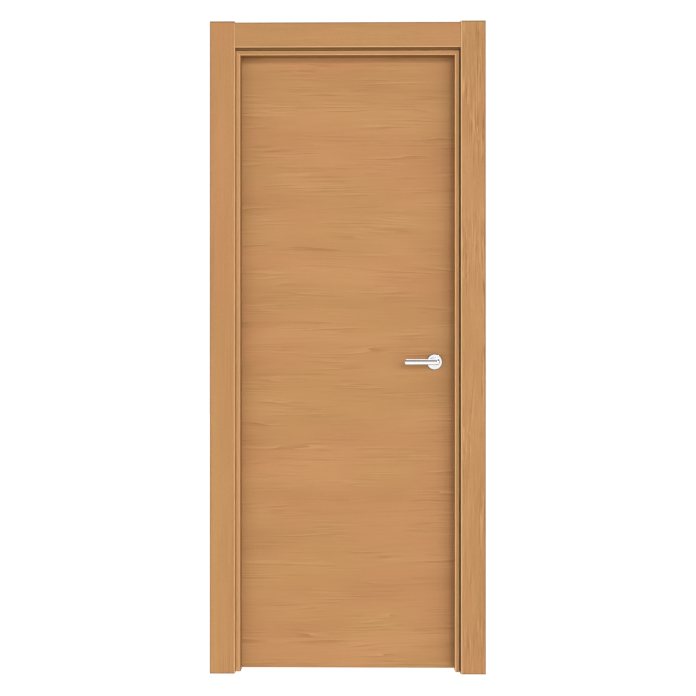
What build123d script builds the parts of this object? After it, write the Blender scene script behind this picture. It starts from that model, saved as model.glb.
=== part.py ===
"""Interior door set: a flush leaf with lever handles, hung on three lift-off hinges in a rebated frame.

Millimetres. X runs along the wall from the hinge jamb to the lock jamb, Y through the wall from the push
side to the pull side, Z up. The origin lies on the hinge jamb's wall face, at the floor, at mid wall.
"""

import os

from build123d import *

# Leaf
LEAF_WIDTH = 725.0
LEAF_HEIGHT = 2030.0
LEAF_THICKNESS = 35.0
SKIN = 4.0
STILE_WIDTH = 35.0
RAIL_HEIGHT = 45.0
LEAF_ARRIS = 1.0

# Clearances around the leaf
HINGE_GAP = 5.0
LOCK_GAP = 6.5
HEAD_GAP = 5.0
FLOOR_GAP = 6.0
STOP_GAP = 5.0

# Frame
WALL = 90.0
JAMB = 23.0
STOP = 17.0
STOP_FOOT = 4.0
SHADOW_WIDTH = 3.0
SHADOW_DEPTH = 6.0
STOP_ARRIS = 2.5
STOP_BACK_ARRIS = 1.0

# Seals in the stops
SEAL_FROM_REBATE = 9.0
SEAL_BULB = 8.0
SEAL_TOUCH = 0.3
SEAL_STEM = 3.0
SEAL_STEM_DEPTH = 6.0
SEAL_ROUND = 1.8
KERF_PLAY = 0.1

# Architraves
TRIM_WIDTH = 82.0
TRIM_THICKNESS = 16.0
TRIM_ROUND = 3.0
FRONT_REVEAL = 17.75
FRONT_HEAD_REVEAL = 22.5
LEG_RISE = 3.5

# Hinges
HINGE_HEIGHT = 100.0
HINGE_PLATE = 2.5
HINGE_PLATE_DEPTH = 28.0
HINGE_PLATE_ROUND = 6.0
KNUCKLE_RADIUS = 6.5
KNUCKLE_OUT = 10.0
KNUCKLE_PLAY = 0.3
KNUCKLE_CAP = 2.0
KNUCKLE_TO_TRIM = 4.0
PIN_RADIUS = 4.0
PIN_PLAY = 0.05
PIN_RISE = 40.0
PIN_END_PLAY = 1.0
TOP_HINGE_DROP = 200.0
BOTTOM_HINGE_RISE = 230.0

# Lever handles
HANDLE_HEIGHT = 1012.0
BACKSET = 75.5
ROSE_RADIUS = 25.0
ROSE_THICKNESS = 8.0
ROSE_ROUND = 1.2
COLLAR_RADIUS = 15.5
COLLAR_HEIGHT = 2.0
COLLAR_ROUND = 0.8
NECK_RADIUS = 8.5
NECK_PLAY = 0.1
NECK_LIFT = 1.0
LEVER_REACH = 100.0
LEVER_HEEL = 15.0
LEVER_HEIGHT = 19.5
LEVER_HEEL_HEIGHT = 18.5
LEVER_THICKNESS = 12.0
LEVER_ROUND = 4.5
LEVER_TIP_ROUND = 5.0
LEVER_OUT = 57.5
SPINDLE = 8.0
SPINDLE_PLAY = 0.05
SPINDLE_IN_LEVER = 22.0
SPINDLE_END_PLAY = 0.5
SPINDLE_BORE = 10.5

# Latch and strike plate
FOREND_WIDTH = 25.0
FOREND_HEIGHT = 60.0
FOREND_THICKNESS = 2.5
FOREND_ROUND = 6.0
BOLT_WIDTH = 12.0
BOLT_HEIGHT = 18.0
BOLT_OUT = 1.0
BOLT_BEVEL = 8.0
BOLT_PLAY = 0.2
STRIKE_THICKNESS = 2.0
STRIKE_HOLE_PLAY = 1.5
STRIKE_POCKET = 14.0

# Places across the wall
FRONT = -WALL / 2
BACK = WALL / 2
LEAF_FRONT = BACK - LEAF_THICKNESS
LEAF_MID = BACK - LEAF_THICKNESS / 2
STOP_BACK = LEAF_FRONT - STOP_GAP

# Places along the wall
LEAF_HINGE_EDGE = JAMB + HINGE_GAP
LEAF_LOCK_EDGE = LEAF_HINGE_EDGE + LEAF_WIDTH
LOCK_REBATE = LEAF_LOCK_EDGE + LOCK_GAP
FRAME_WIDTH = LOCK_REBATE + JAMB
PIN_X = JAMB + HINGE_GAP / 2
PIN_Y = BACK + KNUCKLE_OUT
SPINDLE_X = LEAF_LOCK_EDGE - BACKSET
FRONT_TRIM_EDGE = JAMB + STOP - FRONT_REVEAL
BACK_TRIM_EDGE = PIN_X - KNUCKLE_RADIUS - KNUCKLE_TO_TRIM

# Heights
LEAF_BOTTOM = FLOOR_GAP
LEAF_TOP = LEAF_BOTTOM + LEAF_HEIGHT
HEAD_REBATE = LEAF_TOP + HEAD_GAP
FRAME_TOP = HEAD_REBATE + JAMB
HANDLE_Z = LEAF_BOTTOM + HANDLE_HEIGHT
FRONT_HEAD_EDGE = HEAD_REBATE - STOP + FRONT_HEAD_REVEAL
BACK_HEAD_EDGE = HEAD_REBATE + JAMB - BACK_TRIM_EDGE
TOP_HINGE_Z = LEAF_TOP - TOP_HINGE_DROP
BOTTOM_HINGE_Z = LEAF_BOTTOM + BOTTOM_HINGE_RISE
HINGE_HEIGHTS = {
    "top": TOP_HINGE_Z,
    "middle": (TOP_HINGE_Z + BOTTOM_HINGE_Z) / 2,
    "bottom": BOTTOM_HINGE_Z,
}

parts = {}


def block(x, y, z):
    """A box given by its (low, high) pair along each axis."""
    middle = [(low + high) / 2 for low, high in (x, y, z)]
    return Pos(*middle) * Box(x[1] - x[0], y[1] - y[0], z[1] - z[0])


def rod_up(radius, x, y, z):
    """An upright cylinder over the (low, high) heights z."""
    return Pos(x, y, z[0]) * Cylinder(radius, z[1] - z[0], align=(Align.CENTER, Align.CENTER, Align.MIN))


def rod_through(radius, y):
    """A cylinder along the spindle's line over the (low, high) depths y."""
    bar = Cylinder(radius, y[1] - y[0], align=(Align.CENTER, Align.CENTER, Align.MIN))
    return Pos(SPINDLE_X, y[1], HANDLE_Z) * Rot(90, 0, 0) * bar


# Leaf: two skins over stiles, rails and a core
leaf_x = (LEAF_HINGE_EDGE, LEAF_LOCK_EDGE)
leaf_z = (LEAF_BOTTOM, LEAF_TOP)
core_y = (LEAF_FRONT + SKIN, BACK - SKIN)
core_x = (LEAF_HINGE_EDGE + STILE_WIDTH, LEAF_LOCK_EDGE - STILE_WIDTH)
core_z = (LEAF_BOTTOM + RAIL_HEIGHT, LEAF_TOP - RAIL_HEIGHT)
spindle_bore = rod_through(SPINDLE_BORE, (LEAF_FRONT, BACK))

front_skin = block(leaf_x, (LEAF_FRONT, core_y[0]), leaf_z)
front_skin = fillet(front_skin.faces().sort_by(Axis.Y)[0].edges(), LEAF_ARRIS)
back_skin = block(leaf_x, (core_y[1], BACK), leaf_z)
back_skin = fillet(back_skin.faces().sort_by(Axis.Y)[-1].edges(), LEAF_ARRIS)
hinge_stile = block((LEAF_HINGE_EDGE, core_x[0]), core_y, leaf_z)
lock_stile = block((core_x[1], LEAF_LOCK_EDGE), core_y, leaf_z)
parts["leaf_front_skin"] = front_skin - spindle_bore
parts["leaf_core"] = block(core_x, core_y, core_z) - spindle_bore
parts["leaf_top_rail"] = block(core_x, core_y, (core_z[1], LEAF_TOP))
parts["leaf_bottom_rail"] = block(core_x, core_y, (LEAF_BOTTOM, core_z[0]))

# Jambs: the head is butted between the two side boards
hinge_jamb = block((0, JAMB), (FRONT, BACK), (0, FRAME_TOP))
lock_jamb = block((LOCK_REBATE, FRAME_WIDTH), (FRONT, BACK), (0, FRAME_TOP))
parts["head_jamb"] = block((JAMB, LOCK_REBATE), (FRONT, BACK), (HEAD_REBATE, FRAME_TOP))

# Stops and seals: one section each, run up both sides and across the head, mitred at the corners
stop_depth = STOP_BACK - FRONT
kerf_half = SEAL_STEM / 2 + KERF_PLAY
kerf_floor = stop_depth - SEAL_STEM_DEPTH - KERF_PLAY
stop_outline = Polyline(
    (0, SHADOW_DEPTH),
    (SHADOW_WIDTH, SHADOW_DEPTH),
    (SHADOW_WIDTH, 0),
    (STOP, 0),
    (STOP, stop_depth),
    (SEAL_FROM_REBATE + kerf_half, stop_depth),
    (SEAL_FROM_REBATE + kerf_half, kerf_floor),
    (SEAL_FROM_REBATE - kerf_half, kerf_floor),
    (SEAL_FROM_REBATE - kerf_half, stop_depth),
    (0, stop_depth),
    close=True,
)
stop_section = make_face(stop_outline)
stop_face_corners = stop_section.vertices().group_by(Axis.Y)[0]
stop_section = fillet(stop_face_corners, STOP_ARRIS)
stop_section = fillet(stop_section.vertices().group_by(Axis.X)[-1].sort_by(Axis.Y)[-1], STOP_BACK_ARRIS)

bulb_height = STOP_GAP - SEAL_TOUCH
seal_bulb = Pos(SEAL_FROM_REBATE, stop_depth + bulb_height / 2) * Rectangle(SEAL_BULB, bulb_height)
seal_bulb = fillet(seal_bulb.vertices().group_by(Axis.Y)[-1], SEAL_ROUND)
seal_stem = Pos(SEAL_FROM_REBATE, stop_depth - SEAL_STEM_DEPTH / 2) * Rectangle(SEAL_STEM, SEAL_STEM_DEPTH)
seal_section = seal_bulb + seal_stem

hinge_corner = (JAMB, FRONT, HEAD_REBATE)
lock_corner = (LOCK_REBATE, FRONT, HEAD_REBATE)
hinge_mitre = Plane(origin=hinge_corner, x_dir=(0, 1, 0), z_dir=(1, 0, 1))
lock_mitre = Plane(origin=lock_corner, x_dir=(0, 1, 0), z_dir=(-1, 0, 1))
rise = HEAD_REBATE - STOP_FOOT

for kind, section in (("stop", stop_section), ("seal", seal_section)):
    up_hinge_side = Plane(origin=(JAMB, FRONT, STOP_FOOT), x_dir=(1, 0, 0), z_dir=(0, 0, 1))
    down_lock_side = Plane(origin=lock_corner, x_dir=(-1, 0, 0), z_dir=(0, 0, -1))
    across_head = Plane(origin=hinge_corner, x_dir=(0, 0, -1), z_dir=(1, 0, 0))
    hinge_run = extrude(up_hinge_side * section, amount=rise)
    lock_run = extrude(down_lock_side * section, amount=rise)
    head_run = extrude(across_head * section, amount=LOCK_REBATE - JAMB)
    parts[f"hinge_{kind}"] = split(hinge_run, bisect_by=hinge_mitre, keep=Keep.BOTTOM)
    parts[f"lock_{kind}"] = split(lock_run, bisect_by=lock_mitre, keep=Keep.BOTTOM)
    head_run = split(head_run, bisect_by=hinge_mitre, keep=Keep.TOP)
    parts[f"head_{kind}"] = split(head_run, bisect_by=lock_mitre, keep=Keep.TOP)

# Architraves: the head piece is butted between the legs, which run a little higher
for side, edge, head_edge in (
    ("front", FRONT_TRIM_EDGE, FRONT_HEAD_EDGE),
    ("back", BACK_TRIM_EDGE, BACK_HEAD_EDGE),
):
    trim_y = (FRONT - TRIM_THICKNESS, FRONT) if side == "front" else (BACK, BACK + TRIM_THICKNESS)
    show = 0 if side == "front" else -1
    head_top = head_edge + TRIM_WIDTH
    leg_z = (0, head_top + LEG_RISE)
    hinge_leg = block((edge - TRIM_WIDTH, edge), trim_y, leg_z)
    lock_leg = block((FRAME_WIDTH - edge, FRAME_WIDTH - edge + TRIM_WIDTH), trim_y, leg_z)
    head_piece = block((edge, FRAME_WIDTH - edge), trim_y, (head_edge, head_top))
    for place, piece, along in (
        ("hinge", hinge_leg, Axis.Z),
        ("lock", lock_leg, Axis.Z),
        ("head", head_piece, Axis.X),
    ):
        arrises = piece.edges().filter_by(along).group_by(Axis.Y)[show]
        parts[f"{side}_{place}_architrave"] = fillet(arrises, TRIM_ROUND)

# Hinges: the frame's half carries the pin, the leaf's half drops over it
for name, z in HINGE_HEIGHTS.items():
    low = z - HINGE_HEIGHT / 2
    high = z + HINGE_HEIGHT / 2
    seat = z - KNUCKLE_PLAY / 2
    lift = z + KNUCKLE_PLAY / 2
    plate_y = (BACK - HINGE_PLATE_DEPTH, BACK)
    frame_x = (JAMB - HINGE_PLATE, JAMB)
    leaf_edge_x = (LEAF_HINGE_EDGE, LEAF_HINGE_EDGE + HINGE_PLATE)

    frame_plate = block(frame_x, plate_y, (low, high))
    frame_plate = fillet(frame_plate.edges().filter_by(Axis.X).group_by(Axis.Y)[0], HINGE_PLATE_ROUND)
    frame_knuckle = rod_up(KNUCKLE_RADIUS, PIN_X, PIN_Y, (low, seat))
    frame_knuckle = fillet(frame_knuckle.faces().sort_by(Axis.Z)[0].edges(), KNUCKLE_CAP)
    frame_strap = block(frame_x, (BACK, PIN_Y), (low + KNUCKLE_CAP, seat))
    pin = rod_up(PIN_RADIUS, PIN_X, PIN_Y, (seat, z + PIN_RISE))
    parts[f"hinge_{name}_frame_half"] = frame_plate + frame_strap + frame_knuckle + pin
    hinge_jamb -= frame_plate

    leaf_plate = block(leaf_edge_x, plate_y, (low, high))
    leaf_plate = fillet(leaf_plate.edges().filter_by(Axis.X).group_by(Axis.Y)[0], HINGE_PLATE_ROUND)
    leaf_knuckle = rod_up(KNUCKLE_RADIUS, PIN_X, PIN_Y, (lift, high))
    leaf_knuckle = fillet(leaf_knuckle.faces().sort_by(Axis.Z)[-1].edges(), KNUCKLE_CAP)
    leaf_strap = block(leaf_edge_x, (BACK, PIN_Y), (lift, high - KNUCKLE_CAP))
    pin_bore = rod_up(PIN_RADIUS + PIN_PLAY, PIN_X, PIN_Y, (lift, z + PIN_RISE + PIN_END_PLAY))
    parts[f"hinge_{name}_leaf_half"] = leaf_plate + leaf_strap + leaf_knuckle - pin_bore
    hinge_stile -= leaf_plate
    back_skin -= leaf_plate

# Roses: a round plate with a raised collar round the lever's neck, the same on both faces
rose = rod_through(ROSE_RADIUS, (LEAF_FRONT - ROSE_THICKNESS, LEAF_FRONT))
rose = fillet(rose.faces().sort_by(Axis.Y)[0].edges(), ROSE_ROUND)
collar_front = LEAF_FRONT - ROSE_THICKNESS - COLLAR_HEIGHT
collar = rod_through(COLLAR_RADIUS, (collar_front, LEAF_FRONT))
collar = fillet(collar.faces().sort_by(Axis.Y)[0].edges(), COLLAR_ROUND)
rose = rose + collar - rod_through(NECK_RADIUS + NECK_PLAY, (collar_front, LEAF_FRONT))
leaf_middle_plane = Plane(origin=(0, LEAF_MID, 0), x_dir=(1, 0, 0), z_dir=(0, 1, 0))
parts["front_rose"] = rose
parts["back_rose"] = mirror(rose, about=leaf_middle_plane)

# Levers: a bar with a round heel, standing on a neck that turns in the rose, both on one square spindle
bar_front = LEAF_FRONT - LEVER_OUT
bar_back = bar_front + LEVER_THICKNESS
neck_end = LEAF_FRONT - NECK_LIFT
heel_x = LEVER_HEEL - LEVER_HEEL_HEIGHT / 2
tip_plane = Plane(origin=(SPINDLE_X, bar_back, HANDLE_Z), x_dir=(1, 0, 0), z_dir=(0, -1, 0))
blade = make_face(
    Polyline(
        (heel_x, LEVER_HEEL_HEIGHT / 2),
        (heel_x, -LEVER_HEEL_HEIGHT / 2),
        (-LEVER_REACH, -LEVER_HEIGHT / 2),
        (-LEVER_REACH, LEVER_HEIGHT / 2),
        close=True,
    )
)
blade = fillet(blade.vertices().group_by(Axis.X)[0], LEVER_TIP_ROUND)
blade += Pos(heel_x, 0) * Circle(LEVER_HEEL_HEIGHT / 2)
bar = extrude(tip_plane * blade, amount=LEVER_THICKNESS)
bar = fillet(bar.faces().filter_by(Axis.Y).edges(), LEVER_ROUND)
socket_y = (neck_end - SPINDLE_IN_LEVER, neck_end)
socket_half = SPINDLE / 2 + SPINDLE_PLAY
socket = block(
    (SPINDLE_X - socket_half, SPINDLE_X + socket_half),
    socket_y,
    (HANDLE_Z - socket_half, HANDLE_Z + socket_half),
)
neck = rod_through(NECK_RADIUS, (bar_back - LEVER_THICKNESS / 2, neck_end))
lever = bar + neck - socket
parts["front_lever"] = lever
parts["back_lever"] = mirror(lever, about=leaf_middle_plane)
spindle_start = socket_y[0] + SPINDLE_END_PLAY
parts["spindle"] = block(
    (SPINDLE_X - SPINDLE / 2, SPINDLE_X + SPINDLE / 2),
    (spindle_start, 2 * LEAF_MID - spindle_start),
    (HANDLE_Z - SPINDLE / 2, HANDLE_Z + SPINDLE / 2),
)

# Latch: forend let into the leaf's edge, bolt drawn back into the leaf, strike plate in the lock jamb
plate_z = (HANDLE_Z - FOREND_HEIGHT / 2, HANDLE_Z + FOREND_HEIGHT / 2)
forend = block(
    (LEAF_LOCK_EDGE - FOREND_THICKNESS, LEAF_LOCK_EDGE),
    (LEAF_MID - FOREND_WIDTH / 2, LEAF_MID + FOREND_WIDTH / 2),
    plate_z,
)
forend = fillet(forend.edges().filter_by(Axis.X), FOREND_ROUND)
bolt_y = (LEAF_MID - BOLT_WIDTH / 2, LEAF_MID + BOLT_WIDTH / 2)
bolt_z = (HANDLE_Z - BOLT_HEIGHT / 2, HANDLE_Z + BOLT_HEIGHT / 2)
bolt = block((core_x[1], LEAF_LOCK_EDGE + BOLT_OUT), bolt_y, bolt_z)
bevel_edge = bolt.edges().filter_by(Axis.Z).group_by(Axis.X)[-1].sort_by(Axis.Y)[0]
parts["latch_bolt"] = chamfer(bevel_edge, BOLT_BEVEL, BOLT_BEVEL)
bolt_hole = block(
    (core_x[1], LEAF_LOCK_EDGE),
    (bolt_y[0] - BOLT_PLAY, bolt_y[1] + BOLT_PLAY),
    (bolt_z[0] - BOLT_PLAY, bolt_z[1] + BOLT_PLAY),
)
parts["latch_forend"] = forend - bolt_hole
lock_stile = lock_stile - forend - bolt_hole

strike = block((LOCK_REBATE, LOCK_REBATE + STRIKE_THICKNESS), (LEAF_MID - FOREND_WIDTH / 2, BACK), plate_z)
strike = fillet(strike.edges().filter_by(Axis.X).group_by(Axis.Y)[0], FOREND_ROUND)
strike_hole = block(
    (LOCK_REBATE, LOCK_REBATE + STRIKE_POCKET),
    (bolt_y[0] - STRIKE_HOLE_PLAY, bolt_y[1] + STRIKE_HOLE_PLAY),
    (bolt_z[0] - STRIKE_HOLE_PLAY, bolt_z[1] + STRIKE_HOLE_PLAY),
)
parts["strike_plate"] = strike - strike_hole
lock_jamb = lock_jamb - strike - strike_hole

parts["leaf_back_skin"] = back_skin - spindle_bore
parts["leaf_hinge_stile"] = hinge_stile
parts["leaf_lock_stile"] = lock_stile
parts["hinge_jamb"] = hinge_jamb
parts["lock_jamb"] = lock_jamb

os.makedirs("parts", exist_ok=True)
for node, solid in parts.items():
    export_step(solid, f"parts/{node}.step")
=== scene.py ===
import math

import bmesh
import bpy
import numpy as np
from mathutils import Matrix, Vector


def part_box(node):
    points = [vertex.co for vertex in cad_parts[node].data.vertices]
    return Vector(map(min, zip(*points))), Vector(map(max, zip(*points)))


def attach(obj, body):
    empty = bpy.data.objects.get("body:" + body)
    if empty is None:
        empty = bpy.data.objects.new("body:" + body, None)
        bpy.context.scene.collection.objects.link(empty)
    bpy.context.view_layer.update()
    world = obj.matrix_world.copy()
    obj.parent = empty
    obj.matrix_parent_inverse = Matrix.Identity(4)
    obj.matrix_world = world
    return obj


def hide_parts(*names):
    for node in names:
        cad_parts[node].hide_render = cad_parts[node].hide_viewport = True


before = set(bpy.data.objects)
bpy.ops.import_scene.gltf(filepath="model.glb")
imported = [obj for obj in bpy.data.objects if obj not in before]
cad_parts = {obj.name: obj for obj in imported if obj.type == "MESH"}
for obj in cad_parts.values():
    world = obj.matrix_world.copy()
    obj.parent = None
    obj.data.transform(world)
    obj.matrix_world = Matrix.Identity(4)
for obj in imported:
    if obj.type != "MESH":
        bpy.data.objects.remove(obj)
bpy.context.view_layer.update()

# Lining: two side boards and a head, fibreboard planks veneered in beech on every face that shows, butted at
# the head and screwed together. The backs that stand against the wall and the feet stay bare board.


class Finish:
    """One output socket of a finish's nodes. Arithmetic on it adds Math nodes."""

    def __init__(self, tree, socket=None):
        self.tree = tree
        self.socket = socket

    def node(self, kind, settings={}, sockets={}, out=0):
        """Adds a node of this type: its settings first, then the value or link of each socket."""
        made = self.tree.nodes.new("ShaderNode" + kind)
        for setting, value in settings.items():
            setattr(made, setting, value)
        for socket, value in sockets.items():
            if isinstance(value, Finish):
                self.tree.links.new(value.socket, made.inputs[socket])
            else:
                made.inputs[socket].default_value = value
        return Finish(self.tree, made.outputs[out] if len(made.outputs) else None)

    def maths(self, operation, first, second=0.0):
        return self.node("Math", {"operation": operation}, {0: first, 1: second})

    def __add__(self, other):
        return self.maths("ADD", self, other)

    __radd__ = __add__

    def __sub__(self, other):
        return self.maths("SUBTRACT", self, other)

    def __rsub__(self, other):
        return self.maths("SUBTRACT", other, self)

    def __mul__(self, other):
        return self.maths("MULTIPLY", self, other)

    __rmul__ = __mul__

    def __abs__(self):
        return self.maths("ABSOLUTE", self)


def new_finish(name):
    """An empty material, and the Finish that its nodes start from."""
    material = bpy.data.materials.new(name)
    material.use_nodes = True
    material.node_tree.nodes.clear()
    return material, Finish(material.node_tree)


def coated(start, sockets):
    """Wires a Principled shader with these sockets to the material's output."""
    shader = start.node("BsdfPrincipled", {}, sockets)
    start.node("OutputMaterial", {}, {"Surface": shader})


def axes_of(vector):
    """The three components of a vector."""
    return [vector.node("SeparateXYZ", {}, {0: vector}, axis) for axis in "XYZ"]


def noise(g, a, d, detail=1.0, rough=0.5):
    """Soft noise about one half, of three coordinates already divided by the size of its grain."""
    place = g.node("CombineXYZ", {}, {0: g, 1: a, 2: d})
    sockets = {"Vector": place, "Scale": 1.0, "Detail": detail, "Roughness": rough}
    return g.node("TexNoise", {}, sockets)


def ease(value, low, high):
    """A smooth step, 0 where value is low and 1 where it is high."""
    sockets = {"Value": value, "From Min": low, "From Max": high}
    return value.node("MapRange", {"interpolation_type": "SMOOTHSTEP"}, sockets)


def stain(under, over, share):
    """One colour laid over another by a share from 0 to 1."""
    return share.node("Mix", {"data_type": "RGBA"}, {0: share, 6: under, 7: over}, 2)


def relief(height, strength, depth):
    """A normal from a height; depth is in metres."""
    return height.node("Bump", {}, {"Strength": strength, "Distance": depth, "Height": height})


def facing(start, direction):
    """1 where the surface looks along a direction, else 0."""
    normal = start.node("TexCoord", {}, {}, "Normal")
    along = start.node("VectorMath", {"operation": "DOT_PRODUCT"}, {0: normal, 1: direction}, "Value")
    return ease(along, 0.75, 0.9)


def turning(start):
    """1 on a rounded arris, where the surface looks between the three axes, and 0 on flat faces."""
    x, y, z = (abs(axis) for axis in axes_of(start.node("TexCoord", {}, {}, "Normal")))
    widest = start.maths("MAXIMUM", start.maths("MAXIMUM", x, y), z)
    return ease(widest, 0.995, 0.93)


def fibreboard(start, place):
    """Colour of raw fibreboard: matted short fibres, lighter and darker clumps."""
    x, y, z = axes_of(place)
    clumps = noise(x * 60, y * 60, z * 60, 2)
    fibres = noise(x * 900, y * 900, z * 300, 3, 0.7)
    board = stain((0.36, 0.25, 0.15, 1), (0.47, 0.35, 0.23, 1), clumps)
    return stain(board, (0.62, 0.50, 0.36, 1), ease(fibres, 0.5, 0.8))


beech_tints = {
    "ochre": (0.380, 0.191, 0.0654),
    "pink": (0.396, 0.186, 0.0686),
    "pale": (0.473, 0.252, 0.0990),
    "brown": (0.258, 0.114, 0.0335),
    # pale of rubbed arrises, also used as a painted highlight
    "wear_and_highlight": (0.640, 0.380, 0.1800),
    # painted shade: a near-black brown laid in bands where the door stands in shade
    "painted_shade": (0.050, 0.021, 0.0050),
}


def beech(name, grain, seed, figure=1.0, drawn=1.0, lined=0.35, close=1.0, tone=1.0, bare=(), bands=()):
    """Lacquered beech veneer whose grain runs along one axis.

    g runs along the grain, a and d across it, and what multiplies them is a count per metre. Growth rings
    are a sawtooth of the distance across, bent by broad noise: each ring darkens slowly and ends sharply, and
    rings come and go in clusters. Fibres are drawn-out noise, pale dashes and ray flecks the peaks of shorter
    noise, clouds and patches broad changes of tone. Arrises are paler: partly rubbed wear, partly a painted
    highlight.

    figure is the strength of the clusters, drawn how short the figure is along the grain, lined the strength
    of the fine lines, close how near they stand, and tone the brightness of all tints. Bare faces are raw
    board. A band is a stretch along one axis that takes a tint: axis, from, to, tint, share. The bands paint
    light and shade: painted shade in grooves, soffits, feet and on arrises, painted highlights on arrises.
    """
    slow_bend, quick_bend = 0.025, 0.006
    ring_count, ring_drift = 70, 6.0
    band_blur = 0.0002
    pore_depth = 0.0002
    material, start = new_finish(name)
    place = start.node("TexCoord", {}, {}, "Object")
    moved = start.node("VectorMath", {}, {0: place, 1: (seed * 3.7, seed * 1.9, seed * 5.3)})
    x, y, z = axes_of(moved)
    g, a = (x, z) if grain == "x" else (z, x)
    d = y
    slow_bow = (noise(g * 1.1, a * 2.4, d * 2.4) - 0.5) * slow_bend
    quick_bow = (noise(g * 5, a * 16, d * 16) - 0.5) * quick_bend
    bowed = a + (slow_bow + quick_bow)
    drift = noise(g * 1.2 * drawn, bowed * 20, d * 20, 2) * ring_drift
    rings = start.maths("FRACT", (bowed + d * 0.8) * ring_count + drift)
    lines = noise(g * 7 * drawn, bowed * 240 * close, d * 240 * close, 1)
    clusters = ease(noise(g * 4.5 * drawn, bowed * 26, d * 26, 2), 0.44, 0.66) * figure
    clouds = noise(g * 2.4 * drawn, bowed * 11, d * 11, 2)
    dashes = ease(noise(g * 18 * drawn, bowed * 260, d * 260), 0.58, 0.70)
    fibres = noise(g * 16, bowed * 430, d * 430, 2, 0.6)
    flecks = ease(noise(g * 260, bowed * 1500, d * 1500), 0.56, 0.68)
    patches = ease(noise(g * 2.6, a * 5.0, d * 5.0, 1), 0.36, 0.64)

    tints = {tint: (*(tone * value for value in colour), 1) for tint, colour in beech_tints.items()}
    colour = stain(tints["ochre"], tints["pink"], patches)
    colour = stain(colour, tints["pale"], ease(clouds, 0.48, 0.68) * 0.24)
    colour = stain(colour, tints["brown"], ease(clouds, 0.50, 0.30) * 0.17)
    colour = stain(colour, tints["pale"], ease(rings, 0.30, 0.0) * (clusters * 0.50 + 0.05))
    colour = stain(colour, tints["brown"], ease(rings, 0.55, 0.98) * (clusters * 0.48 + 0.05))
    colour = stain(colour, tints["pale"], ease(lines, 0.44, 0.32) * (clusters * 0.85 + 0.15) * lined)
    colour = stain(colour, tints["brown"], ease(lines, 0.56, 0.68) * (clusters * 0.85 + 0.15) * lined)
    colour = stain(colour, tints["pale"], dashes * (clusters * 0.6 + 0.2) * lined)
    colour = stain(colour, tints["brown"], ease(fibres, 0.52, 0.75) * 0.08)
    colour = stain(colour, tints["brown"], flecks * 0.42)
    # paler arrises: partly rubbed wear, partly a painted highlight
    colour = stain(colour, tints["wear_and_highlight"], turning(start))
    rough = 0.42 + fibres * 0.16
    # bands: painted shade and painted highlights laid along the piece; where painted shade lies the gloss is
    # dulled too
    for axis, low, high, tint, share in bands:
        along = axes_of(place)[axis]
        begun = ease(along, low - band_blur, low + band_blur)
        inside = begun * ease(along, high + band_blur, high - band_blur)
        colour = stain(colour, tints[tint], inside * share)
        if tint == "painted_shade":
            rough = rough + inside * share * 0.5
    for direction in bare:
        colour = stain(colour, fibreboard(start, place), facing(start, direction))
    height = fibres * 0.6 - flecks * 0.5
    coated(start, {
        "Base Color": colour,
        "Roughness": rough,
        "Normal": relief(height, 0.25, pore_depth),
        "Specular IOR Level": 0.22,
    })
    return material


def dress(finish, *nodes):
    """Gives CAD nodes a finish."""
    for node in nodes:
        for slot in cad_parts[node].material_slots:
            slot.material = finish


sawn_ends = ((0, 0, -1), (0, 0, 1))
dress(beech("hinge_jamb_beech", "z", 1, bare=((-1, 0, 0), *sawn_ends)), "hinge_jamb")
dress(beech("lock_jamb_beech", "z", 2, bare=((1, 0, 0), *sawn_ends)), "lock_jamb")
past = 0.001  # a band at an edge starts this far outside it
edge_depth = 0.0005
front_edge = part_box("head_jamb")[0].y
# painted shade: the head jamb's front edge, shaded by the architrave before it, is darkened in the veneer
shadow_gap = ((1, front_edge - past, front_edge + edge_depth, "painted_shade", 0.55),)
dress(beech("head_jamb_beech", "x", 3, bare=((0, 0, 1),), bands=shadow_gap), "head_jamb")

# Stops: beech-veneered strips with rounded arrises and a shadow groove along the outer corner, glued into the
# rebate of each board and mitred at the head. The leaf closes against their backs.
groove = 0.003
foot_height = 0.003
thin_line = 0.0004
hinge_low, hinge_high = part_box("hinge_stop")
lock_low, lock_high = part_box("lock_stop")
head_low, head_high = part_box("head_stop")
# painted shade along the foot of each stop
stop_foot = (2, hinge_low.z - past, hinge_low.z + foot_height, "painted_shade", 0.45)
# hinge stop: the groove lightened as painted light, painted highlights on both arrises, the inner arris
# browned as painted shade
hinge_bands = (
    stop_foot,
    (0, hinge_low.x - past, hinge_low.x + groove, "wear_and_highlight", 0.4),
    (0, hinge_low.x + groove, hinge_low.x + 2 * groove, "wear_and_highlight", 1.0),
    (0, hinge_high.x - 2 * groove, hinge_high.x - groove, "wear_and_highlight", 0.6),
    (0, hinge_high.x - groove, hinge_high.x + past, "brown", 0.9),
)
# lock stop: a painted highlight on the inner arris, painted shade in the groove
lock_bands = (
    stop_foot,
    (0, lock_low.x + thin_line, lock_low.x + groove, "wear_and_highlight", 1.0),
    (0, lock_high.x - groove - edge_depth, lock_high.x + past, "painted_shade", 0.85),
)
# head stop: painted shade on the soffit and in the groove
head_bands = (
    (2, head_low.z - past, head_low.z + thin_line, "painted_shade", 0.4),
    (2, head_high.z - groove, head_high.z + past, "painted_shade", 0.6),
)
dress(beech("hinge_stop_beech", "z", 4, figure=0.5, tone=1.03, bands=hinge_bands), "hinge_stop")
dress(beech("lock_stop_beech", "z", 16, figure=0.5, tone=1.05, bands=lock_bands), "lock_stop")
dress(beech("head_stop_beech", "x", 5, figure=0.5, bands=head_bands), "head_stop")

# Seal: one strip of soft brown rubber, a bulb on a stem pressed into the kerf behind the stops. It runs up
# the hinge side, across the head and down the lock side, mitred at the two corners.


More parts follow.
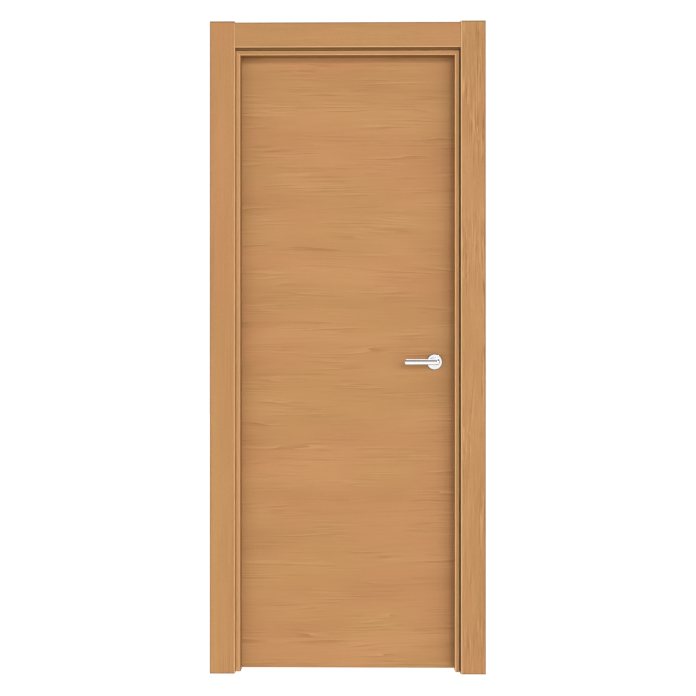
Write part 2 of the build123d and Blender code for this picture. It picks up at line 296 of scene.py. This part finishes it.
def shell(name, grid, closed_round, cap_start, cap_end, crease=40):
    """A mesh from a grid of points [along, round, xyz].

    Quads join neighbours along and round; a closed round joins its last point to its first, and a capped end
    is filled with a fan to the middle of its ring. Edges sharper than crease degrees stay sharp.
    """
    along, around = grid.shape[:2]
    points = grid.reshape(-1, 3)
    rows = np.arange(along - 1)[:, None] * around
    columns = np.arange(around if closed_round else around - 1)[None, :]
    after = (columns + 1) % around
    quads = np.stack([rows + columns, rows + after, rows + after + around, rows + columns + around], -1)
    faces = quads.reshape(-1, 4).tolist()
    for wanted, first in ((cap_start, 0), (cap_end, (along - 1) * around)):
        if wanted:
            ring = first + np.arange(around)
            middle = np.full(around, len(points))
            points = np.vstack([points, points[ring].mean(0)])
            faces += np.stack([ring, np.roll(ring, -1), middle], -1).tolist()
    mesh = bpy.data.meshes.new(name)
    mesh.from_pydata(points.tolist(), [], faces)
    return settle(name, mesh, crease)


def settle(name, mesh, crease):
    """Turns a mesh's faces outwards, shades it smooth between its creases and links its object."""
    work = bmesh.new()
    work.from_mesh(mesh)
    bmesh.ops.remove_doubles(work, verts=work.verts, dist=1e-7)
    bmesh.ops.recalc_face_normals(work, faces=work.faces)
    work.to_mesh(mesh)
    work.free()
    mesh.polygons.foreach_set("use_smooth", np.ones(len(mesh.polygons), bool))
    mesh.set_sharp_from_angle(angle=math.radians(crease))
    piece = bpy.data.objects.new(name, mesh)
    bpy.context.scene.collection.objects.link(piece)
    return piece


def finished(piece, finish, body, slot, *nodes):
    """Gives a new piece its finish and its body, and hides the CAD nodes that it stands for; slot is not
    used.
    """
    piece.data.materials.append(finish)
    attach(piece, body)
    if nodes:
        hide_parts(*nodes)


def rubber(name, shade=1.0):
    """Extruded rubber: dull brown, speckled, with a paler bloom of dust; a low shade is nearly black."""
    material, start = new_finish(name)
    place = start.node("TexCoord", {}, {}, "Object")
    x, y, z = axes_of(place)
    speckle = noise(x * 700, y * 700, z * 700, 2)
    bloom = noise(x * 14, y * 60, z * 14, 2)
    deep, dusty, specks = (
        (*(shade * value for value in tint), 1)
        for tint in ((0.070, 0.040, 0.022), (0.115, 0.070, 0.042), (0.160, 0.110, 0.075))
    )
    colour = stain(deep, dusty, ease(bloom, 0.4, 0.7))
    colour = stain(colour, specks, ease(speckle, 0.62, 0.8) * 0.4)
    coated(start, {
        "Base Color": colour,
        "Roughness": 0.55 + bloom * 0.2,
        "Normal": relief(speckle, 0.2, 0.0001),
    })
    return material


def seal_strip():
    """The seal's section carried along three runs.

    Half of the section is a bulb, a superellipse over the stop's back face, and half the stem below it. Each
    section point keeps its distance from the rebate along all three runs, so the corners are mitred.
    """
    hinge_low, hinge_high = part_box("hinge_seal")
    lock_low, lock_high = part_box("lock_seal")
    head_low, head_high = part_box("head_seal")
    half = (hinge_high.x - hinge_low.x) / 2
    stem_half = 0.0015
    bulb_height = 0.0047
    bulb_power = 0.72
    bulb_foot = hinge_high.y - bulb_height
    turn = np.linspace(0, np.pi, 25)
    bulb_across = np.sign(np.cos(turn)) * np.abs(np.cos(turn)) ** bulb_power * half
    bulb_out = bulb_foot + np.sin(turn) ** bulb_power * bulb_height
    stem_across = np.array([-stem_half, -stem_half, stem_half, stem_half])
    stem_out = np.array([bulb_foot, hinge_low.y, hinge_low.y, bulb_foot])
    across = np.concatenate([bulb_across, stem_across])
    out = np.concatenate([bulb_out, stem_out])
    left = (hinge_low.x + hinge_high.x) / 2 + across
    right = (lock_low.x + lock_high.x) / 2 - across
    top = (head_low.z + head_high.z) / 2 - across
    foot = np.full_like(across, hinge_low.z)
    rise = np.linspace(0, 1, 40)[:, None]
    up = np.stack([left + 0 * rise, out + 0 * rise, foot + (top - foot) * rise], -1)
    over = np.stack([left + (right - left) * rise, out + 0 * rise, top + 0 * rise], -1)
    down = np.stack([right + 0 * rise, out + 0 * rise, top + (foot - top) * rise], -1)
    return np.concatenate([up, over[1:], down[1:]])


seal = shell("seal_strip", seal_strip(), True, True, True)
finished(seal, rubber("seal_rubber"), "frame", "seal_rubber", "hinge_seal", "lock_seal", "head_seal")

# Architraves: flat fibreboard mouldings wrapped in beech veneer, pinned to the lining on both faces of the
# wall. The legs run up past the head piece, which is butted between them. Their backs and sawn ends are bare.
rim = 0.0035
# width of the painted shade on the lock leg's inner side
shadow_line = 0.0012
# painted shade along the foot of each leg
foot = (2, -past, foot_height, "painted_shade", 0.45)
for side, back, seed in (("front", (0, 1, 0), 6), ("back", (0, -1, 0), 9)):
    bare = (back, *sawn_ends)
    hinge_low, hinge_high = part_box(f"{side}_hinge_architrave")
    lock_low, lock_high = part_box(f"{side}_lock_architrave")
    head_low, head_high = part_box(f"{side}_head_architrave")
    # painted shade on the top arris of each leg, and on the hinge leg's outer arris
    crown = (2, hinge_high.z - rim, hinge_high.z + past, "painted_shade", 0.55)
    hinge_bands = (foot, crown, (0, hinge_low.x - past, hinge_low.x + rim, "painted_shade", 0.5))
    # lock leg: painted shade on the outer arris and the inner side, a painted highlight on the inner arris
    lock_bands = (
        foot,
        crown,
        (0, lock_high.x - rim, lock_high.x + past, "painted_shade", 0.5),
        (0, lock_low.x - past, lock_low.x + shadow_line, "painted_shade", 0.8),
        (0, lock_low.x + shadow_line, lock_low.x + 1.2 * rim, "wear_and_highlight", 0.9),
    )
    # head piece: painted shade on the top arris and on the underside
    head_bands = (
        (2, head_high.z - rim, head_high.z + past, "painted_shade", 0.55),
        (2, head_low.z - past, head_low.z + thin_line, "painted_shade", 0.4),
    )
    hinge_leg = beech(
        f"{side}_hinge_leg_beech", "z", seed,
        figure=0.5, drawn=0.6, lined=0.3, tone=0.98, bare=bare, bands=hinge_bands,
    )
    lock_leg = beech(
        f"{side}_lock_leg_beech", "z", seed + 1,
        figure=0.8, drawn=1.1, lined=1.4, close=0.75, tone=0.975, bare=bare, bands=lock_bands,
    )
    head_piece = beech(
        f"{side}_head_piece_beech", "x", seed + 2,
        figure=0.3, drawn=0.8, lined=0.3, tone=0.955, bare=(back,), bands=head_bands,
    )
    dress(hinge_leg, f"{side}_hinge_architrave")
    dress(lock_leg, f"{side}_lock_architrave")
    dress(head_piece, f"{side}_head_architrave")

# Leaf frame: stiles and rails lipped in beech round a light chipboard core, pressed between the skins. The
# lacquered edges of the stiles show when the door stands open.


def chipboard(name):
    """Pressed wood chips: flat cells of differing browns, dusted with fine fibres."""
    material, start = new_finish(name)
    place = start.node("TexCoord", {}, {}, "Object")
    x, y, z = axes_of(place)
    chips = start.node("TexVoronoi", {}, {"Vector": place, "Scale": 220.0}, "Color")
    shade = axes_of(chips)[0]
    dust = noise(x * 600, y * 600, z * 600, 2)
    colour = stain((0.30, 0.19, 0.10, 1), (0.55, 0.40, 0.24, 1), shade)
    colour = stain(colour, (0.62, 0.50, 0.34, 1), ease(dust, 0.55, 0.8) * 0.5)
    coated(start, {
        "Base Color": colour,
        "Roughness": 0.8 + dust * 0.15,
        "Normal": relief(shade, 0.5, 0.0005),
    })
    return material


dress(chipboard("leaf_core_chips"), "leaf_core")
dress(beech("lipping_beech", "z", 12, figure=0.5), "leaf_hinge_stile", "leaf_lock_stile")
dress(beech("rail_beech", "x", 13, figure=0.5), "leaf_top_rail", "leaf_bottom_rail")

# Skins: thin boards veneered in beech with the grain lying across the leaf, pressed over the core and
# lacquered in a satin finish. Their top and bottom edges and the faces glued to the core are bare board.
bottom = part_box("leaf_front_skin")[0].z
# painted shade along the foot of each skin
bottom_edge = ((2, bottom - past, bottom + foot_height, "painted_shade", 0.35),)
dress(beech("front_skin_beech", "x", 14, bare=((0, 1, 0), *sawn_ends), bands=bottom_edge), "leaf_front_skin")
dress(beech("back_skin_beech", "x", 15, bare=((0, -1, 0), *sawn_ends), bands=bottom_edge), "leaf_back_skin")

# Hinges: three lift-off pairs in satin steel. A plate of each half is let flush into the jamb or the leaf's
# edge and held by raised countersunk screws with a cross recess.


def steel(name, streak, bright=1.0):
    """Satin steel brushed along one axis: fine drawn lines in tone, gloss and relief, and dulled patches."""
    material, start = new_finish(name)
    place = start.node("TexCoord", {}, {}, "Object")
    x, y, z = axes_of(place)
    along, across = 14.0, 1600.0
    scale = [along if axis == streak else across for axis in "xyz"]
    lines = noise(x * scale[0], y * scale[1], z * scale[2], 2, 0.7)
    patches = noise(x * 45, y * 45, z * 45, 2)
    low = tuple(bright * value for value in (0.40, 0.395, 0.385)) + (1,)
    high = tuple(bright * value for value in (0.62, 0.615, 0.60)) + (1,)
    colour = stain(low, high, lines)
    colour = stain(colour, high, turning(start) * 0.6)
    coated(start, {
        "Base Color": colour,
        "Metallic": 1.0,
        "Roughness": 0.24 + lines * 0.14 + patches * 0.10,
        "Normal": relief(lines, 0.12, 0.0001),
    })
    return material


def screw_heads(name, centres, outward, radius, rise):
    """Raised screw heads on a plate.

    Over radius and angle, each head's height is a low dome that meets the plate at its rim, less a cross
    recess: two crossed slots with soft walls, shallower away from the middle. Slot sizes are shares of the
    radius.
    """
    arm, length, wall = 0.15, 0.55, 0.10
    dome_fall, recess_depth, recess_fade = 0.85, 0.85, 0.6
    sunk_rim = -0.0002
    r = np.linspace(0.0, 1.0, 22)[:, None]
    turn = np.linspace(0, 2 * np.pi, 64, endpoint=False)[None, :]
    u = r * np.cos(turn)
    v = r * np.sin(turn)
    soft_u = np.clip((arm - np.abs(u)) / wall + 0.5, 0, 1) * np.clip((length - np.abs(v)) / wall + 0.5, 0, 1)
    soft_v = np.clip((arm - np.abs(v)) / wall + 0.5, 0, 1) * np.clip((length - np.abs(u)) / wall + 0.5, 0, 1)
    recess = np.maximum(soft_u, soft_v) * (1 - recess_fade * r)
    height = rise * (1 - dome_fall * r**2 - recess_depth * recess)
    height[-1] = sunk_rim
    along = np.array(outward, float)
    side = np.array([0.0, 0.0, 1.0])
    other = np.cross(along, side)
    head = (radius * u)[..., None] * side + (radius * v)[..., None] * other + height[..., None] * along
    heads = np.array(centres, float)[:, None, None, :] + head
    count, rows, columns = heads.shape[:3]
    start = np.arange(count)[:, None, None] * rows * columns
    row = np.arange(rows - 1)[None, :, None] * columns
    column = np.arange(columns)[None, None, :]
    after = (column + 1) % columns
    inner = start + row + column
    inner_next = start + row + after
    corners = np.broadcast_arrays(inner, inner_next, inner_next + columns, inner + columns)
    quads = np.stack(corners, -1).reshape(-1, 4)
    under = (start[:, 0, :] + (rows - 1) * columns + np.arange(columns)).tolist()
    mesh = bpy.data.meshes.new(name)
    mesh.from_pydata(heads.reshape(-1, 3).tolist(), [], quads.tolist() + under)
    return settle(name, mesh, 35)


hinge_steel = steel("hinge_steel", "z")
screw_steel = steel("screw_steel", "x", bright=1.1)
jamb_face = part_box("hinge_jamb")[1]
leaf_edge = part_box("leaf_front_skin")[0].x
screw_radius, screw_rise = 0.0042, 0.0009
outer_back, middle_back, outer_up = 0.013, 0.020, 0.036
spots = ((outer_back, -outer_up), (middle_back, 0.0), (outer_back, outer_up))
for place in ("top", "middle", "bottom"):
    frame_half = f"hinge_{place}_frame_half"
    leaf_half = f"hinge_{place}_leaf_half"
    dress(hinge_steel, frame_half, leaf_half)
    low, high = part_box(frame_half)
    middle = (low.z + high.z) / 2
    on_jamb = [(jamb_face.x, jamb_face.y - back, middle + up) for back, up in spots]
    on_leaf = [(leaf_edge, jamb_face.y - back, middle + up) for back, up in spots]
    jamb_screws = screw_heads(f"hinge_{place}_jamb_screws", on_jamb, (1, 0, 0), screw_radius, screw_rise)
    leaf_screws = screw_heads(f"hinge_{place}_leaf_screws", on_leaf, (-1, 0, 0), screw_radius, screw_rise)
    finished(jamb_screws, screw_steel, "frame", "hinge_steel")
    finished(leaf_screws, screw_steel, "leaf", "hinge_steel")

# Latch: a steel forend let into the leaf's lock edge with the bevelled bolt drawn back in it, and a strike
# plate in the jamb opposite. Two raised screws hold each plate.
latch_steel = steel("latch_steel", "z", bright=1.08)
bolt_steel = steel("bolt_steel", "x", bright=1.15)
dress(latch_steel, "latch_forend", "strike_plate")
dress(bolt_steel, "latch_bolt")
plate_screw_radius, plate_screw_rise, plate_screw_up = 0.0036, 0.0008, 0.021
forend_low, forend_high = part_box("latch_forend")
latch_line = (forend_low.y + forend_high.y) / 2
for plate, body, outward in (("latch_forend", "leaf", (1, 0, 0)), ("strike_plate", "frame", (-1, 0, 0))):
    low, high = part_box(plate)
    face = high.x if outward[0] > 0 else low.x
    middle = (low.z + high.z) / 2
    spots = [(face, latch_line, middle + up) for up in (-plate_screw_up, plate_screw_up)]
    screws = screw_heads(f"{plate}_screws", spots, outward, plate_screw_radius, plate_screw_rise)
    finished(screws, screw_steel, body, "latch_steel")

# Roses: round chromed plates with a raised collar round the lever's neck, one on each face of the leaf, drawn
# together by hidden screws. Each sits on a thin, nearly black rubber gasket that is a little wider; its rim
# stands round the rose as painted shade, a dark ring where the rose's shadow falls.


def chrome(name, gloss):
    """Chromed brass: faint wiped smears, hairline scratches and a cool tint; gloss is its least roughness."""
    material, start = new_finish(name)
    place = start.node("TexCoord", {}, {}, "Object")
    x, y, z = axes_of(place)
    smears = noise(x * 90, y * 90, z * 140, 3)
    hairs = noise(x * 240, y * 2600, z * 2600, 2, 0.7)
    colour = stain((0.80, 0.81, 0.83, 1), (0.90, 0.905, 0.91, 1), smears)
    coated(start, {
        "Base Color": colour,
        "Metallic": 1.0,
        "Roughness": gloss + ease(smears, 0.45, 0.8) * 0.08 + ease(hairs, 0.6, 0.85) * 0.06,
        "Normal": relief(hairs, 0.03, 0.00005),
    })
    return material


def lathe(radii, outs, centre, outward, steps=96):
    """A section of radii and distances out turned about a line along Y: rings of points along the section."""
    turn = np.linspace(0, 2 * np.pi, steps, endpoint=False)[None, :]
    r = np.asarray(radii)[:, None]
    x = centre[0] + r * np.cos(turn)
    y = centre[1] + np.asarray(outs)[:, None] * outward + 0 * turn
    z = centre[2] + r * np.sin(turn)
    return np.stack([x, y, z], -1)


def arc(middle_r, middle_out, radius, first, last, steps=7):
    """Radii and outs of a circular arc between two angles in degrees."""
    turn = np.radians(np.linspace(first, last, steps))
    return middle_r + radius * np.cos(turn), middle_out + radius * np.sin(turn)


rose_chrome = chrome("rose_chrome", 0.12)
leaf_faces = {"front": (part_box("leaf_front_skin")[0].y, -1), "back": (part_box("leaf_back_skin")[1].y, 1)}
spindle_low, spindle_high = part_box("spindle")
axis_x = (spindle_low.x + spindle_high.x) / 2
axis_z = (spindle_low.z + spindle_high.z) / 2
# the gasket stands wider than the rose so that its nearly black rim shows round it as painted shade
gasket_shade_radius, gasket_out = 0.0265, 0.0016
rose_radius, rose_out, rose_round = 0.025, 0.008, 0.0011
collar_radius, collar_out, collar_round = 0.0155, 0.010, 0.0008
neck_hole = 0.0086
chamfer, fillet, flat_from = 0.0003, 0.0004, 0.0008
section = [
    ([neck_hole, neck_hole], [gasket_out, collar_out - chamfer]),
    ([neck_hole + chamfer], [collar_out]),
    ([neck_hole + flat_from, collar_radius - collar_round - fillet], [collar_out, collar_out]),
    arc(collar_radius - collar_round, collar_out - collar_round, collar_round, 90, 0),
    ([collar_radius, collar_radius + fillet], [rose_out + fillet, rose_out]),
    ([collar_radius + flat_from, rose_radius - rose_round - chamfer], [rose_out, rose_out]),
    arc(rose_radius - rose_round, rose_out - rose_round, rose_round, 90, 0, 11),
    ([rose_radius, neck_hole], [gasket_out, gasket_out]),
]
section_r = np.concatenate([np.asarray(radii) for radii, outs in section])
section_out = np.concatenate([np.asarray(outs) for radii, outs in section])
gasket_r = np.array([neck_hole, neck_hole, gasket_shade_radius - chamfer, gasket_shade_radius, gasket_shade_radius, neck_hole])
gasket_outs = np.array([0.0, gasket_out, gasket_out, gasket_out - chamfer, 0.0, 0.0])
# nearly black rubber: the visible rim is painted shade
gasket_shade_rubber = rubber("gasket_shade_rubber", 0.25)
for side, (face, outward) in leaf_faces.items():
    centre = (axis_x, face, axis_z)
    gasket_rings = lathe(gasket_r, gasket_outs, centre, outward)
    gasket = shell(f"{side}_rose_gasket_shade", gasket_rings, True, False, False)
    finished(gasket, gasket_shade_rubber, "leaf", "seal_rubber")
    rose_rings = lathe(section_r, section_out, centre, outward)
    rose = shell(f"{side}_rose_plate", rose_rings, True, False, False, 50)
    finished(rose, rose_chrome, "leaf", "handle_chrome", f"{side}_rose")

# Levers: cast bars, crowned and polished, each on a round neck that turns in its rose. Both sit on one square
# steel spindle through the leaf, locked by a hidden grub screw.
lever_low, lever_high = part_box("front_lever")
lever_reach = axis_x - lever_low.x
lever_heel = lever_high.x - axis_x
lever_out, lever_thick = 0.0575, 0.012
heel_drop = 0.0005
tip_half = (lever_high.z - lever_low.z) / 2
heel_half = tip_half - heel_drop


def lever_bar(face, outward):
    """The bar's section carried from tip to heel.

    The section is a superellipse, taller than it is deep. Its height grows evenly from heel to tip, and at
    both ends it closes along a rounded cap: the share 1 - (1 - d/R)^n, to the power 1/n, of the distance d
    from the end, where R is the cap's length.
    """
    tip_cap, tip_power = 0.0065, 2.8
    heel_cap, heel_power = 0.0075, 2.0
    section_power, thin_power = 2.1, 0.8
    length = lever_reach + lever_heel
    quarter = np.linspace(0, np.pi / 2, 17)
    s = np.concatenate([
        tip_cap * (1 - np.cos(quarter)),
        np.linspace(tip_cap, length - heel_cap, 40)[1:-1],
        length - heel_cap * (1 - np.cos(quarter[::-1])),
    ])[:, None]
    tip_share = np.clip(1 - s / tip_cap, 0, 1) ** tip_power
    heel_share = np.clip(1 - (length - s) / heel_cap, 0, 1) ** heel_power
    close = (1 - tip_share) ** (1 / tip_power) * (1 - heel_share) ** (1 / heel_power)
    half_height = (tip_half + (heel_half - tip_half) * s / length) * close
    half_thick = lever_thick / 2 * close**thin_power
    turn = np.linspace(0, 2 * np.pi, 64, endpoint=False)[None, :]
    power = 2 / section_power
    up = np.sign(np.sin(turn)) * np.abs(np.sin(turn)) ** power
    out = np.sign(np.cos(turn)) * np.abs(np.cos(turn)) ** power
    middle = lever_out - lever_thick / 2
    return np.stack([
        axis_x - lever_reach + s + 0 * turn,
        face + outward * (middle + half_thick * out),
        axis_z + half_height * up,
    ], -1)


lever_chrome = chrome("lever_chrome", 0.06)
neck_radius, waist_depth = 0.0085, 0.0016
waist_from, waist_length = 0.036, 0.012
foot_ring = [0.001]
straight_rings = np.linspace(0.004, waist_from, 12)
waist_rings = np.linspace(0.038, 0.052, 10)
neck_outs = np.concatenate([foot_ring, straight_rings, waist_rings])
neck_radii = neck_radius - waist_depth * np.clip((neck_outs - waist_from) / waist_length, 0, 1) ** 2
for side, (face, outward) in leaf_faces.items():
    bar = shell(f"{side}_lever_bar", lever_bar(face, outward), True, False, False, 60)
    neck_rings = lathe(neck_radii, neck_outs, (axis_x, face, axis_z), outward)
    neck = shell(f"{side}_lever_neck", neck_rings, True, True, True, 50)
    finished(bar, lever_chrome, "handle", "handle_chrome", f"{side}_lever")
    finished(neck, lever_chrome, "handle", "handle_chrome")
dress(steel("spindle_steel", "y", bright=0.9), "spindle")

# Studio: a broad pale floor and a white surround, lit from low down and from a band ahead and to the right,
# and dim overhead. Soft lights stand to the right of the camera, behind the door and above it. Gloss mirrors
# a surround of its own, dim above the horizon, pale below it and dimmer again straight down.
floor_reach, floor_level = 20.0, -0.0005
span = np.array([-floor_reach, floor_reach])
floor_x, floor_y = np.meshgrid(span, span)
floor_mesh = bpy.data.meshes.new("floor")
floor_points = np.stack([floor_x, floor_y, np.full_like(floor_x, floor_level)], -1).reshape(-1, 3)
floor_mesh.from_pydata(floor_points.tolist(), [], [(0, 1, 3, 2)])
floor = bpy.data.objects.new("floor", floor_mesh)
bpy.context.scene.collection.objects.link(floor)
floor_paint, start = new_finish("floor_paint")
plain = start.node("BsdfDiffuse", {}, {"Color": (0.82, 0.82, 0.82, 1)})
glow = start.node("Emission", {}, {"Color": (1, 1, 1, 1), "Strength": 1.55})
start.node("OutputMaterial", {}, {"Surface": start.node("MixShader", {}, {0: 0.6, 1: plain, 2: glow})})
floor.visible_diffuse = False
floor.visible_glossy = False
floor.data.materials.append(floor_paint)

scene = bpy.context.scene
world = bpy.data.worlds.new("surround")
world.use_nodes = True
world.node_tree.nodes.clear()
start = Finish(world.node_tree)
x, y, z = axes_of(start.node("TexCoord", {}, {}, "Generated"))
ahead = ease(y, -0.3, -0.8)
from_right = ahead * ease(x, -0.10, 0.30)
below = ease(z, 0.10, 0.03) * (1.34 + from_right * 0.88)
strip = ease(z, 0.09, 0.15) * ease(z, 0.38, 0.26) * (1.4 + ahead * 0.95 + from_right * 3.85)
level = below + strip + ease(z, 0.34, 0.46) * 0.2
mirrored = (
    0.20
    + ease(z, 0.70, 0.95) * 0.25
    + ease(z, 0.50, 0.15) * 0.15
    + ease(z, 0.20, 0.0) * 0.72
    + ease(z, -0.3, -0.6) * 0.20
    - ease(z, -0.75, -0.98) * 0.65
)
dome = start.node("Background", {}, {"Color": (1, 1, 1, 1), "Strength": level})
sheen = start.node("Background", {}, {"Color": (1, 1, 1, 1), "Strength": mirrored})
white = start.node("Background", {}, {"Color": (1, 1, 1, 1), "Strength": 1.05})
glossy = start.node("LightPath", {}, {}, "Is Glossy Ray")
seen = start.node("LightPath", {}, {}, "Is Camera Ray")
lit = start.node("MixShader", {}, {0: glossy, 1: dome, 2: sheen})
start.node("OutputWorld", {}, {"Surface": start.node("MixShader", {}, {0: seen, 1: lit, 2: white})})
scene.world = world


def soft_light(name, azimuth, elevation, spread, strength):
    """A far-off soft box: azimuth from the front towards +X, elevation and apparent width, in degrees."""
    data = bpy.data.lights.new(name, "SUN")
    data.angle = math.radians(spread)
    data.energy = strength
    light = bpy.data.objects.new(name, data)
    light.rotation_euler = (math.radians(90 - elevation), 0, math.radians(azimuth))
    scene.collection.objects.link(light)


soft_light("key", 14, 17, 10, 0.5)
soft_light("back_light", 205, 25, 25, 1.0)
soft_light("overhead", 0, 84, 30, 0.5)
scene.view_settings.view_transform = "Standard"

# Camera: a long lens straight in front of the door at mid height, turned so that the door stands in the
# middle of the picture.
camera_data = bpy.data.cameras.new("camera")
camera_data.lens = 77.65
camera_data.sensor_width = 36
camera = bpy.data.objects.new("camera", camera_data)
camera.location = (0.4687, -4.961, 1.0523)
camera.rotation_euler = (math.radians(90.134), 0, math.radians(0.891))
scene.collection.objects.link(camera)
scene.camera = camera
